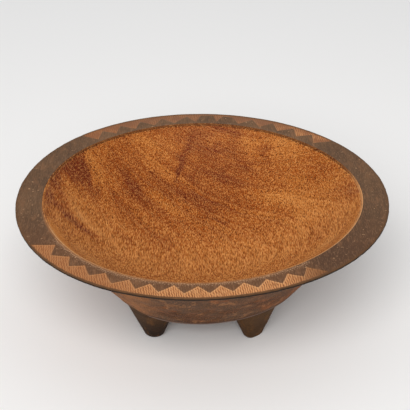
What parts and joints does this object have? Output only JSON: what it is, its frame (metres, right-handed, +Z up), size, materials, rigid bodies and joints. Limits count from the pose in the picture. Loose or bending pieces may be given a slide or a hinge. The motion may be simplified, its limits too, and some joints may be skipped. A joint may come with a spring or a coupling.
{
  "type": "kava bowl",
  "caption": "Round carved wooden kava bowl: a shallow oiled well inside a flat dark rim with bands of carved teeth, standing on short tapered legs.",
  "frame": {"origin": "on the floor under the middle of the rim", "axes": "+Z up through the middle of the rim; -Y is the front of the bowl, where the longer band of carved teeth lies, and +X is to the right seen from the front"},
  "size_m": [0.3966, 0.3998, 0.135],
  "materials": {
    "oiled_wood": "oiled open-pored hardwood, satin",
    "stained_wood": "dark stain rubbed thin, low sheen",
    "dark_wood": "dark stain, low sheen"
  },
  "bodies": {
    "root": {"dish": "oiled_wood", "rim": "stained_wood", "leg_front_left": "dark_wood", "leg_front_right": "dark_wood", "leg_back_left": "dark_wood", "leg_back_right": "dark_wood"}
  },
  "joints": []
}
